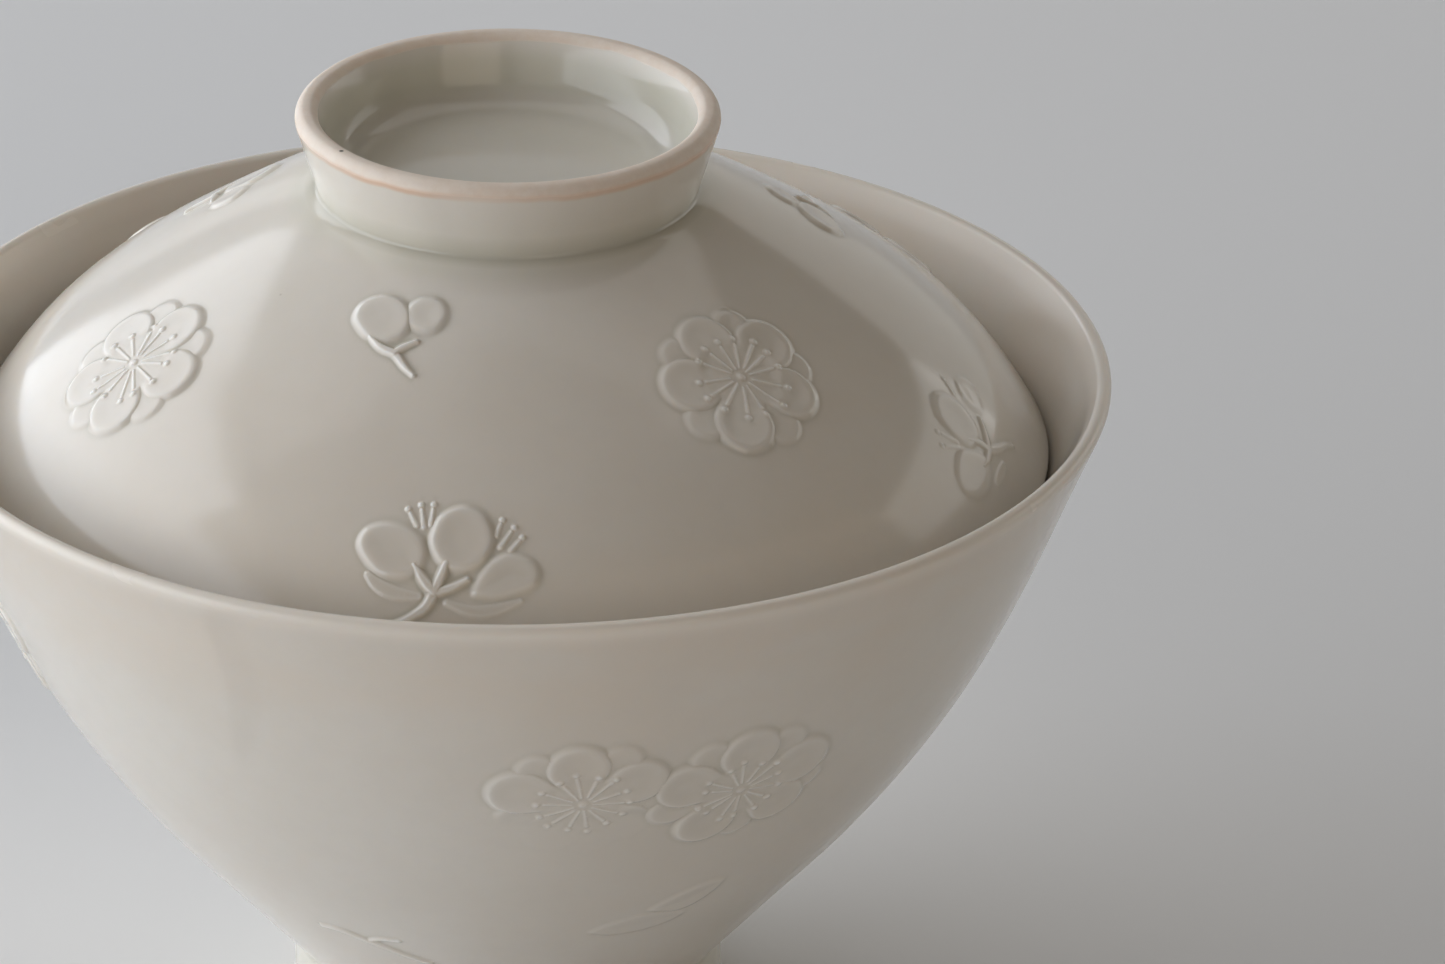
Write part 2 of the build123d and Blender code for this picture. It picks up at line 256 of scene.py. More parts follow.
def blossom(u, v, petals, rears, anthers, high=0.52, low=0.30, fade=None, fine=1.0):
    """An open blossom. petals: (angle, reach, half width); rears: (angle, centre, radius); anthers: (angle, radius)."""
    h = np.zeros_like(u)
    for a, c, r in rears:
        a = math.radians(a)
        d = taper(u, v, (2.4 * math.cos(a), 2.4 * math.sin(a)), (c * math.cos(a), c * math.sin(a)), 1.1, r)
        h = np.maximum(h, plate(d, low, 0.05))
    front = np.zeros_like(u)
    for a, reach, wide in petals:
        a = math.radians(a)
        c = reach - wide
        d = taper(u, v, (1.1 * math.cos(a), 1.1 * math.sin(a)), (c * math.cos(a), c * math.sin(a)), 1.0, wide)
        front = np.maximum(front, plate(d, high, 0.10))
    middle = rise(np.hypot(u, v), 4.9, 3.1)
    front = front * (1 - middle) + (high - 0.17) * middle
    if fade is not None:
        gone = 1 - fade * rise(v, 0.3, 3.6)
        front *= gone
        h *= gone
    h = np.maximum(h, front)
    bump = 0.24 * rise(0.52 - np.hypot(u, v), -0.16, 0.42)
    for i, (a, r) in enumerate(anthers):
        a = math.radians(a)
        ca, sa = math.cos(a), math.sin(a)
        near, far = 1.0 + 0.12 * (i % 3), r - 0.62 - 0.18 * (i % 2)
        bump = np.maximum(bump, 0.16 * rise(taper(u, v, (near * ca, near * sa), (far * ca, far * sa), 0.12, 0.19), -0.14, 0.17))
        bump = np.maximum(bump, 0.24 * rise(0.38 - np.hypot(u - r * ca, v - r * sa), -0.16, 0.32))
    return h + fine * bump


def even_blossom(turn, high=0.52, low=0.27, swing=0.0, reach=8.5):
    """A full blossom whose petals are spaced evenly, give or take."""
    wob = [0.0, 3.0, -2.5, 4.0, -3.0]
    petals = [(turn + 72 * i + wob[i] + swing, reach + 0.1 * wob[i] * 0.5, 3.3) for i in range(5)]
    rears = [(turn + 36 + 72 * i + wob[4 - i], 6.2, 2.3) for i in range(5)]
    anthers = [(turn + 12 + 360 / 14 * i + 3 * math.sin(5 * i + turn), 4.55 + 0.28 * math.sin(3.1 * i)) for i in range(14)]
    return lambda u, v: blossom(u, v, petals, rears, anthers, high, low)


def side_view(u, v):
    """A blossom seen from the side, on its stem."""
    left = [(-7.8, -4.1), (-7.2, -6.0), (-5.4, -6.7), (-3.3, -6.4), (-1.55, -5.2), (-1.0, -3.4), (-1.7, -1.6), (-3.8, -1.0), (-6.0, -1.7)]
    mid = [(-1.0, -5.3), (-0.2, -7.7), (1.9, -8.8), (4.0, -8.0), (5.2, -5.7), (4.6, -3.5), (2.9, -2.1), (1.0, -2.2), (-0.4, -3.5)]
    righ = [(3.5, -0.2), (4.3, -2.5), (5.5, -3.9), (6.9, -4.4), (8.8, -3.9), (9.8, -2.6), (9.1, -1.0), (6.5, 0.2), (4.7, 0.3)]
    h = strokes(u, v, [(-6.4, -1.4), (-5.4, -0.5), (-3.7, 0.25), (-1.5, 0.45)], [0.40, 0.66, 0.70, 0.4], 0.20)
    h = np.maximum(h, strokes(u, v, [(1.3, 0.9), (3.7, 1.55), (5.9, 1.2), (8.1, 0.2)], [0.36, 0.60, 0.62, 0.3], 0.20))
    h = np.maximum(h, plate(inside(u, v, left), 0.50, 0.13))
    h = np.maximum(h, plate(inside(u, v, righ), 0.46, 0.10))
    h = np.maximum(h, plate(inside(u, v, mid), 0.56, 0.12))
    for (ax, ay), (bx, by) in [((-3.3, -8.1), (-2.3, -6.5)), ((-2.1, -8.6), (-1.6, -6.4)), ((-0.9, -8.7), (-0.95, -6.6)),
                               ((5.7, -7.6), (5.3, -6.0)), ((6.9, -6.95), (5.8, -4.9)), ((7.75, -6.0), (6.8, -4.6))]:
        h = np.maximum(h, 0.27 * rise(0.38 - np.hypot(u - ax, v - ay), -0.10, 0.32))
        h = np.maximum(h, strokes(u, v, [(ax * 0.78 + bx * 0.22, ay * 0.78 + by * 0.22), (bx, by)], [0.16, 0.26], 0.24, 0.2))
    sepal = strokes(u, v, [(0.0, 0.0), (-1.0, -1.0), (-2.15, -2.55)], [0.62, 0.60, 0.42], 0.70, 0.42)
    sepal = np.maximum(sepal, strokes(u, v, [(0.1, -0.2), (0.9, -2.9)], [0.62, 0.50], 0.72, 0.42))
    sepal = np.maximum(sepal, strokes(u, v, [(0.2, 0.0), (1.6, -0.55), (3.0, -1.4)], [0.55, 0.50, 0.36], 0.66, 0.40))
    sepal = np.maximum(sepal, strokes(u, v, [(0.0, 0.0), (-0.6, 1.4), (-1.8, 2.4), (-3.3, 3.2), (-5.4, 3.8)], [0.62, 0.55, 0.46, 0.42, 0.36], 0.56, 0.38))
    return np.maximum(h, sepal)


def side_view_right(u, v):
    """The same seen further round, its stem to the right."""
    upper = [(-0.7, -7.4), (1.0, -6.9), (2.0, -5.4), (2.2, -4.0), (1.8, -2.3), (0.7, -1.1), (-1.2, -1.0), (-2.4, -1.6), (-3.1, -3.4), (-3.1, -5.3), (-2.3, -6.5)]
    lower = [(-6.3, -1.2), (-4.7, -1.9), (-3.2, -1.8), (-1.05, -0.2), (-0.5, 1.1), (-1.7, 2.2), (-3.8, 3.0), (-6.1, 2.7), (-7.6, 1.2), (-7.3, -0.2)]
    third = [(3.3, -3.6), (3.6, -5.4), (4.9, -6.6), (6.5, -6.3), (7.3, -4.9), (6.4, -3.3), (4.7, -2.5)]
    h = plate(inside(u, v, third), 0.28, 0.08)
    h = np.maximum(h, plate(inside(u, v, lower), 0.52, 0.13))
    h = np.maximum(h, plate(inside(u, v, upper), 0.54, 0.12))
    h = np.maximum(h, strokes(u, v, [(-1.6, 3.2), (0.2, 2.9), (1.7, 2.6)], [0.4, 0.6, 0.4], 0.24))
    for (ax, ay), (bx, by) in [((-4.7, -4.8), (-3.2, -2.7)), ((-5.7, -3.6), (-3.6, -2.2)), ((3.3, -7.5), (2.6, -5.9))]:
        h = np.maximum(h, 0.27 * rise(0.38 - np.hypot(u - ax, v - ay), -0.10, 0.32))
        h = np.maximum(h, strokes(u, v, [(ax * 0.78 + bx * 0.22, ay * 0.78 + by * 0.22), (bx, by)], [0.16, 0.26], 0.24, 0.2))
    sepal = strokes(u, v, [(0.8, 0.4), (0.1, -0.9), (-1.4, -2.0)], [0.6, 0.5, 0.38], 0.68, 0.42)
    sepal = np.maximum(sepal, strokes(u, v, [(0.8, 0.4), (-0.9, 0.9), (-2.0, 1.0)], [0.6, 0.5, 0.38], 0.68, 0.42))
    sepal = np.maximum(sepal, strokes(u, v, [(0.8, 0.4), (2.2, -0.9), (3.3, -2.2)], [0.6, 0.5, 0.38], 0.64, 0.42))
    sepal = np.maximum(sepal, strokes(u, v, [(0.8, 0.4), (2.6, 1.2), (4.4, 1.6), (5.9, 2.2)], [0.62, 0.5, 0.42, 0.34], 0.54, 0.38))
    return np.maximum(h, sepal)


def bud(u, v):
    """A closed bud and a smaller one beside it, on a twig."""
    big = [(-5.1, -2.6), (-5.3, -4.2), (-4.6, -5.5), (-3.0, -6.2), (-1.2, -5.9), (0.25, -4.7), (0.85, -3.0), (0.45, -1.5), (-1.0, -0.5), (-3.15, -0.8)]
    small = [(-0.3, -5.0), (0.5, -6.4), (2.1, -6.8), (3.4, -6.1), (4.0, -4.6), (3.5, -2.9), (2.1, -2.4), (0.3, -3.1)]
    h = plate(inside(u, v, small), 0.44, 0.06)
    h = np.maximum(h, plate(inside(u, v, big), 0.52, 0.10))
    stem = strokes(u, v, [(0.3, 0.4), (-1.2, 0.0), (-2.7, -1.0)], [0.52, 0.48, 0.34], 0.64, 0.38)
    stem = np.maximum(stem, strokes(u, v, [(0.3, 0.4), (0.9, -0.45), (1.95, -1.35)], [0.50, 0.44, 0.32], 0.62, 0.38))
    stem = np.maximum(stem, strokes(u, v, [(0.3, 0.4), (0.9, 0.9), (1.9, 1.8), (2.9, 2.45)], [0.52, 0.44, 0.38, 0.28], 0.50, 0.34))
    return np.maximum(h, stem)


def leaves(u, v):
    """Two long leaves low on the bowl."""
    a = [(-1.2, -2.0), (0.4, -3.8), (2.5, -5.1), (4.6, -5.7), (6.0, -5.3), (6.2, -4.2), (5.4, -2.4), (3.9, -0.7), (2.2, -0.1), (0.5, -0.6), (-0.8, -1.2)]
    b = [(-6.4, 2.4), (-4.9, 0.5), (-2.4, -0.8), (0.2, -0.9), (2.6, -0.1), (3.4, 1.2), (1.9, 2.6), (-0.7, 3.4), (-3.6, 3.5)]
    return np.maximum(plate(inside(u, v, a), 0.25, 0.06), plate(inside(u, v, b), 0.17, 0.04))


def twig(u, v):
    h = strokes(u, v, [(-5.8, -1.7), (-4.3, -1.9), (-2.8, -1.5), (0.0, 0.0), (2.2, 1.6), (4.4, 3.1)], [0.35, 0.5, 0.62, 0.7, 0.55, 0.4], 0.42, 0.4)
    return np.maximum(h, strokes(u, v, [(-1.2, -0.6), (0.6, -1.9), (2.6, -2.2)], [0.4, 0.42, 0.3], 0.34, 0.3))


def blossom_lid_right(u, v):
    petals = [(-98.8, 8.05, 3.2), (-27.8, 8.75, 3.25), (38.5, 8.15, 3.2), (121.0, 8.8, 3.25), (191.5, 8.65, 3.25)]
    rears = [(-62.0, 6.35, 2.25), (-134.5, 6.0, 2.3), (6.0, 6.1, 2.3), (83.0, 6.0, 2.3), (154.0, 6.75, 2.35)]
    spots = [(0.19, -4.35), (2.06, -4.21), (3.93, -3.18), (4.55, -1.63), (4.56, 0.25), (4.05, 2.69), (2.25, 4.38),
             (-0.12, 4.62), (-2.1, 4.38), (-3.96, 2.67), (-4.8, 0.95), (-4.52, -0.93), (-3.13, -3.03), (-1.62, -4.09)]
    anthers = [(math.degrees(math.atan2(y, x)), math.hypot(x, y)) for x, y in spots]
    return blossom(u, v, petals, rears, anthers)


def blossom_lid_left(u, v):
    petals = [(-90.0, 8.4, 3.2), (-18.0, 8.6, 3.2), (54.0, 8.5, 3.2), (126.0, 8.5, 3.2), (198.0, 8.5, 3.2)]
    rears = [(-54.0, 6.2, 2.3), (18.0, 6.2, 2.3), (90.0, 6.2, 2.3), (162.0, 6.2, 2.3), (-126.0, 6.2, 2.3)]
    anthers = [(360 / 14 * i + 4 * math.sin(2.3 * i), 4.6 + 0.25 * math.sin(3.7 * i)) for i in range(14)]
    return blossom(u, v, petals, rears, anthers)


def blossom_bowl_right(u, v):
    petals = [(-92.0, 8.9, 3.3), (-19.0, 9.7, 3.35), (36.0, 9.0, 3.2), (120.0, 8.5, 3.3), (-162.0, 9.6, 3.35)]
    rears = [(-127.0, 6.9, 2.4), (-57.0, 6.7, 2.35), (9.0, 7.2, 2.2), (82.0, 5.6, 2.2), (167.0, 7.2, 2.3)]
    anthers = [(360 / 14 * i + 7 + 4 * math.sin(2.9 * i), 4.2 + 0.25 * math.sin(3.3 * i)) for i in range(14)]
    return blossom(u, v, petals, rears, anthers, 0.52, 0.30, fine=0.78)


def blossom_bowl_left(u, v):
    petals = [(-97.5, 8.8, 3.3), (-27.0, 9.0, 3.3), (43.0, 8.5, 3.2), (120.0, 8.5, 3.2), (-163.0, 9.8, 3.35)]
    rears = [(-132.0, 6.9, 2.35), (-61.0, 6.8, 2.3), (8.0, 6.6, 2.2), (80.0, 6.4, 2.2), (160.0, 6.6, 2.2)]
    anthers = [(360 / 14 * i + 3 + 4 * math.sin(3.1 * i), 4.5 + 0.2 * math.sin(2.7 * i)) for i in range(14)]
    return blossom(u, v, petals, rears, anthers, 0.48, 0.30, fade=0.93, fine=0.66)


def turned(shape, degrees):
    c, s = math.cos(math.radians(degrees)), math.sin(math.radians(degrees))
    return lambda u, v: shape(u * c + v * s, -u * s + v * c)


def lowered(shape, share):
    return lambda u, v: share * shape(u, v)


# name of the shape, azimuth in degrees, height on the wall, reach from its centre
LID_MOTIFS = [
    (blossom_lid_right, -50.55, 81.3, 10.2), (blossom_lid_left, -155.2, 78.1, 10.2),
    (side_view, -98.05, 69.27, 12.0), (lowered(side_view_right, 0.50), -20.39, 69.23, 10.5), (bud, -111.73, 84.56, 8.2),
    (even_blossom(20.0), 86.0, 80.6, 10.2), (turned(side_view, -20), 36.0, 71.0, 12.0),
    (turned(side_view, 30), 137.0, 70.0, 12.0), (turned(bud, -35), 20.0, 82.6, 8.2), (turned(bud, 25), 156.0, 83.4, 8.2)]
BOWL_MOTIFS = [
    (blossom_bowl_right, -63.72, 46.4, 11.0), (blossom_bowl_left, -81.93, 47.5, 11.0),
    (even_blossom(60.0), -164.5, 49.5, 10.2), (even_blossom(80.0), 177.5, 46.6, 10.2),
    (even_blossom(92.0), 118.0, 46.4, 10.2), (even_blossom(20.0), 100.0, 47.6, 10.2),
    (even_blossom(95.0), 28.0, 46.4, 10.2), (even_blossom(60.0), 9.5, 47.6, 10.2),
    (leaves, -67.72, 27.3, 10.5), (turned(leaves, -15), -172.0, 28.0, 10.5),
    (turned(leaves, 10), 112.0, 27.6, 10.5), (turned(leaves, -10), 21.0, 27.2, 10.5),
    (twig, -112.41, 21.6, 7.6), (turned(twig, -10), 150.0, 22.0, 7.6), (turned(twig, 8), 66.0, 21.8, 7.6), (turned(twig, -5), -12.0, 21.4, 7.6)]


RAISED = 0.60           # the drawn heights times this are the heights under the glaze


class Wall:
    """A turned solid with motifs on its outer wall and the slight waver of hand throwing."""

    def __init__(self, profile, motifs, outer, seed, waver):
        self.pr, self.seed, self.waver = profile, seed, waver
        r, z, _, _ = profile.at(profile.t)
        lo, hi = outer
        self.outer = outer
        self.motifs = []
        span = np.where((profile.t > lo) & (profile.t < hi))[0]
        for shape, az, height, reach in motifs:
            k = span[np.argmin(np.abs(z[span] - height))]
            t = profile.t[k]
            cr, cz, dr, dz = (float(x) for x in profile.at(t))
            a = math.radians(az)
            down = -1.0 if dz > 0 else 1.0
            self.motifs.append((shape, reach, np.array([cr * math.cos(a), cr * math.sin(a), cz]),
                                np.array([-math.sin(a), math.cos(a), 0.0]),
                                down * np.array([dr * math.cos(a), dr * math.sin(a), dz])))
        rng = np.random.default_rng(seed)
        self.waves = [(rng.integers(0, 4), rng.uniform(0.05, 0.22), rng.uniform(0, 6.28), rng.uniform(0.5, 1.0)) for _ in range(9)]
        self.waves += [(rng.integers(4, 9), rng.uniform(0.15, 0.45), rng.uniform(0, 6.28), rng.uniform(0.12, 0.35)) for _ in range(9)]

    def base(self, t, phi):
        r, z, dr, dz = self.pr.at(t)
        return np.c_[r * np.cos(phi), r * np.sin(phi), z]

    def relief(self, t, phi):
        p = self.base(t, phi)
        h = np.zeros(len(t))
        live = (t > self.outer[0] - 1.0) & (t < self.outer[1] + 1.0)
        for shape, reach, c, eu, ev in self.motifs:
            q = p - c
            near = live & (np.einsum("ij,ij->i", q, q) < reach * reach)
            if near.any():
                q = q[near]
                h[near] = np.maximum(h[near], RAISED * shape(q @ eu, q @ ev))
        return h

    def near_motif(self, t, phi):
        p = self.base(t, phi)
        live = (t > self.outer[0] - 1.0) & (t < self.outer[1] + 1.0)
        near = np.zeros(len(t), bool)
        for shape, reach, c, eu, ev in self.motifs:
            near |= live & (((p - c) ** 2).sum(1) < reach * reach)
        return near

    def wave(self, t, phi):
        """Long, low waver, gone at the axis, the lid's edge and the standing faces."""
        r, z, _, _ = self.pr.at(t)
        w = np.zeros(len(t))
        for n, k, ph, a in self.waves:
            w += a * np.cos(n * phi + k * t + ph)
        calm = np.clip((r - 4) / 12, 0, 1) * self.waver(r, z)
        return 0.016 * w * calm

    def height(self, t, phi):
        return self.relief(t, phi) + self.wave(t, phi)


def bowl_waver(r, z):
    return np.clip((z - 6) / 8, 0, 1) * np.clip((70.9 - z) / 3 + 0.25, 0, 1)


def lid_waver(r, z):
    return np.clip((z - 62.5) / 5, 0, 1) * np.clip((90.5 - z) / 2.5 + 0.12, 0, 1)


def t_range(profile, first, last):
    """Where along the profile the wall between two of its points lies."""
    out = []
    for r, z in (first, last):
        out.append(profile.t[np.argmin((profile.p[:, 0] - r) ** 2 + (profile.p[:, 1] - z) ** 2)])
    return min(out), max(out)


def refined_mesh(wall, around, longest, turn_deg, fine, tol, most):
    """A closed triangle mesh of the wall, split finer until it follows the relief."""
    rings = wall.pr.rings(longest, turn_deg)
    n, m = len(rings), around
    ring_phi = np.arange(m) * 2 * math.pi / m
    t = np.r_[rings[0], np.repeat(rings[1:-1], m), rings[-1]]
    phi = np.r_[0.0, np.tile(ring_phi, n - 2), 0.0]
    pole = np.zeros(len(t), bool)
    pole[[0, -1]] = True
    j = np.arange(m)
    nxt = (j + 1) % m
    tri = [np.c_[np.zeros(m, int), 1 + nxt, 1 + j]]
    for i in range(n - 3):
        a, b = 1 + i * m + j, 1 + i * m + nxt
        d, c = a + m, b + m
        tri += [np.c_[b, c, a], np.c_[d, a, c]]
    last = len(t) - 1
    tri.append(np.c_[np.full(m, last), 1 + (n - 3) * m + j, 1 + (n - 3) * m + nxt])
    tri = np.concatenate(tri)

    def middle(i, k):
        pa, pb = phi[i], phi[k]
        pa = np.where(pole[i], pb, pa)
        pb = np.where(pole[k], pa, pb)
        return (t[i] + t[k]) / 2, pa + ((pb - pa + math.pi) % (2 * math.pi) - math.pi) / 2

    h = wall.relief(t, phi)
    for turn in range(40):
        b, c = tri[:, 1], tri[:, 2]
        tm, pm = middle(b, c)
        r, _, _, _ = wall.pr.at(tm)
        dp = (phi[c] - phi[b] + math.pi) % (2 * math.pi) - math.pi
        size = np.hypot(t[c] - t[b], r * np.where(pole[b] | pole[c], 0, dp))
        active = wall.near_motif(tm, pm) & (size > fine)
        mark = active & (size > 0.75)
        rest = np.where(active & ~mark)[0]
        if len(rest):
            hm = wall.relief(tm[rest], pm[rest])
            flat = np.abs(hm - (h[b[rest]] + h[c[rest]]) / 2)
            a = tri[rest, 0]
            dpa = (phi[a] - pm[rest] + math.pi) % (2 * math.pi) - math.pi
            tc, pc = tm[rest] + (t[a] - tm[rest]) / 3, pm[rest] + dpa / 3
            flat = np.maximum(flat, np.abs(wall.relief(tc, pc) - (h[a] + h[b[rest]] + h[c[rest]]) / 3))
            tq, pq = (t[a] + t[b[rest]]) / 2, phi[b[rest]] + ((phi[a] - phi[b[rest]] + math.pi) % (2 * math.pi) - math.pi) / 2
            flat = np.maximum(flat, np.abs(wall.relief(tq, pq) - (h[a] + h[b[rest]]) / 2))
            bad = np.where(flat > tol)[0]
            room = int((most - len(tri) - 2.6 * mark.sum()) / 2.6)
            if len(bad) > room:
                bad = bad[np.argsort(-flat[bad], kind="stable")[:max(room, 0)]]
            mark[rest[bad]] = True
        if mark.sum() < 40 or len(tri) > most - 1500:
            break
        edges = np.sort(np.stack([tri[:, [1, 2]], tri[:, [2, 0]], tri[:, [0, 1]]], 1).reshape(-1, 2), axis=1)
        key, which = np.unique(edges[:, 0].astype(np.int64) * len(t) + edges[:, 1], return_inverse=True)
        e = which.reshape(-1, 3)
        cut = np.zeros(len(key), bool)
        cut[e[mark, 0]] = True
        while True:
            need = (cut[e[:, 1]] | cut[e[:, 2]]) & ~cut[e[:, 0]]
            if not need.any():
                break
            cut[e[need, 0]] = True
        ia, ib = key[cut] // len(t), key[cut] % len(t)
        tn, pn = middle(ia, ib)
        new = np.full(len(key) + 1, -1)
        new[:-1][cut] = len(t) + np.arange(cut.sum())
        t, phi = np.r_[t, tn], np.r_[phi, pn]
        pole = np.r_[pole, np.zeros(len(tn), bool)]
        h = np.r_[h, wall.relief(tn, pn)]
        for _ in range(2):
            k = np.where(new[e[:, 0]] >= 0)[0]
            p1, p2, p3 = tri[k].T
            p4 = new[e[k, 0]]
            none = np.full(len(k), len(key))
            left_e, right_e = np.c_[e[k, 2], none, none], np.c_[e[k, 1], none, none]
            tri[k], e[k] = np.c_[p4, p1, p2], left_e
            tri, e = np.r_[tri, np.c_[p4, p3, p1]], np.r_[e, right_e]
    return t, phi, pole, tri


def build(name, wall, around, longest, turn_deg, fine, tol, most):
    t, phi, pole, tri = refined_mesh(wall, around, longest, turn_deg, fine, tol, most)
    r, z, dr, dz = wall.pr.at(t)
    cph, sph = np.cos(phi), np.sin(phi)
    out = np.c_[dz * cph, dz * sph, -dr]
    out[pole] = np.c_[np.zeros(pole.sum()), np.zeros(pole.sum()), np.where(t[pole] < 1, -1.0, 1.0)]
    h = wall.height(t, phi)
    at = np.c_[r * cph, r * sph, z] + out * h[:, None]

    # Normals from the exact slopes, not from the triangles.
    e = 0.03
    rr = np.maximum(r, 0.5)
    ht = (wall.height(t + e, phi) - wall.height(t - e, phi)) / (2 * e)
    hp = (wall.height(t, phi + e / rr) - wall.height(t, phi - e / rr)) / (2 * e)
    normal = out - ht[:, None] * np.c_[dr * cph, dr * sph, dz] - hp[:, None] * np.c_[-sph, cph, np.zeros(len(t))]
    normal[pole] = out[pole]
    normal /= np.linalg.norm(normal, axis=1)[:, None]

    # Where glaze gathers in hollows, partly real pooled glaze and partly painted shade, and where it runs thin over
    # edges, partly painted highlight.
    def laplacian(e):
        return (wall.relief(t + e, phi) + wall.relief(t - e, phi) + wall.relief(t, phi + e / rr)
                + wall.relief(t, phi - e / rr) - 4 * wall.relief(t, phi)) / e ** 2

    bend = np.interp(t, wall.pr.t, wall.pr.bend)
    hollow = np.clip(-bend, 0, None)
    # Hollows of the relief and of the section: darkening that is partly pooled glaze, partly painted shade.
    glaze_pool_and_shade = np.clip(np.clip(laplacian(0.62), 0, None) * 0.62 + hollow * 0.75, 0, 1)
    # Edges, ridges and outward bends: paling that is partly glaze run thin, partly painted highlight.
    thin = np.clip(np.clip(-laplacian(0.24), 0, None) * 0.32 + np.clip(bend - 0.25, 0, None) * 0.5, 0, 1)

    mesh = bpy.data.meshes.new(name)
    mesh.vertices.add(len(at))
    mesh.vertices.foreach_set("co", (at * 0.001).astype(np.float32).ravel())
    mesh.loops.add(len(tri) * 3)
    mesh.loops.foreach_set("vertex_index", tri.astype(np.int32).ravel())
    mesh.polygons.add(len(tri))
    mesh.polygons.foreach_set("loop_start", np.arange(0, len(tri) * 3, 3, dtype=np.int32))
    mesh.polygons.foreach_set("use_smooth", np.ones(len(tri), bool))
    mesh.update(calc_edges=True)
    for key, value in (("glaze_pool_and_shade", glaze_pool_and_shade), ("thin", thin)):
        layer = mesh.attributes.new(key, "FLOAT", "POINT")
        layer.data.foreach_set("value", value.astype(np.float32))
    mesh.normals_split_custom_set_from_vertices(normal.astype(np.float32).tolist())
    mesh.validate()
    obj = bpy.data.objects.new(name, mesh)
    bpy.context.scene.collection.objects.link(obj)
    print(name, len(at), "points", len(tri), "triangles")
    return obj


bowl_wall = Wall(bowl_profile, BOWL_MOTIFS, t_range(bowl_profile, BOWL_OUT[0], BOWL_OUT[-1]), 11, bowl_waver)
lid_wall = Wall(lid_profile, LID_MOTIFS, t_range(lid_profile, LID_OUT[-1], LID_OUT[0]), 5, lid_waver)
FINE = 0.12
bowl_mesh = build("bowl_porcelain", bowl_wall, 144, 2.4, 14, FINE, 0.0035, 192000)
lid_mesh = build("lid_porcelain", lid_wall, 144, 2.2, 14, FINE, 0.0035, 192000)


# ------------------------------------------------------------------ glaze and bare clay
def nodes_of(name):
    mat = bpy.data.materials.new(name)
    mat.use_nodes = True
    tree = mat.node_tree
    tree.nodes.clear()
    return mat, tree


class Graph:
    """Short words for building a node tree."""

    def __init__(self, tree):
        self.tree = tree

    def node(self, kind, **values):
        n = self.tree.nodes.new(kind)
        for k, v in values.items():
            setattr(n, k, v)
        return n

    def put(self, socket, value):
        if isinstance(value, bpy.types.NodeSocket):
            self.tree.links.new(value, socket)
        else:
            socket.default_value = value

    def math(self, op, a, b=None, c=None, clamp=False):
        n = self.node("ShaderNodeMath", operation=op, use_clamp=clamp)
        for s, v in zip(n.inputs, (a, b, c)):
            if v is not None:
                self.put(s, v)
        return n.outputs[0]

    def span(self, value, lo, hi, to_lo=0.0, to_hi=1.0, smooth=True):
        n = self.node("ShaderNodeMapRange", interpolation_type="SMOOTHSTEP" if smooth else "LINEAR")
        for s, v in zip(n.inputs, (value, lo, hi, to_lo, to_hi)):
            self.put(s, v)
        return n.outputs[0]

    def mix(self, factor, a, b, mode="MIX"):
        n = self.node("ShaderNodeMix", data_type="RGBA", blend_type=mode)
        self.put(n.inputs[0], factor)
        self.put(n.inputs[6], a)
        self.put(n.inputs[7], b)
        return n.outputs[2]

    def noise(self, where, scale, detail=2.0, rough=0.5, dim="3D"):
        n = self.node("ShaderNodeTexNoise", noise_dimensions=dim)
        self.put(n.inputs["Vector"], where)
        n.inputs["Scale"].default_value = scale
        n.inputs["Detail"].default_value = detail
        n.inputs["Roughness"].default_value = rough
        return n.outputs["Fac"]


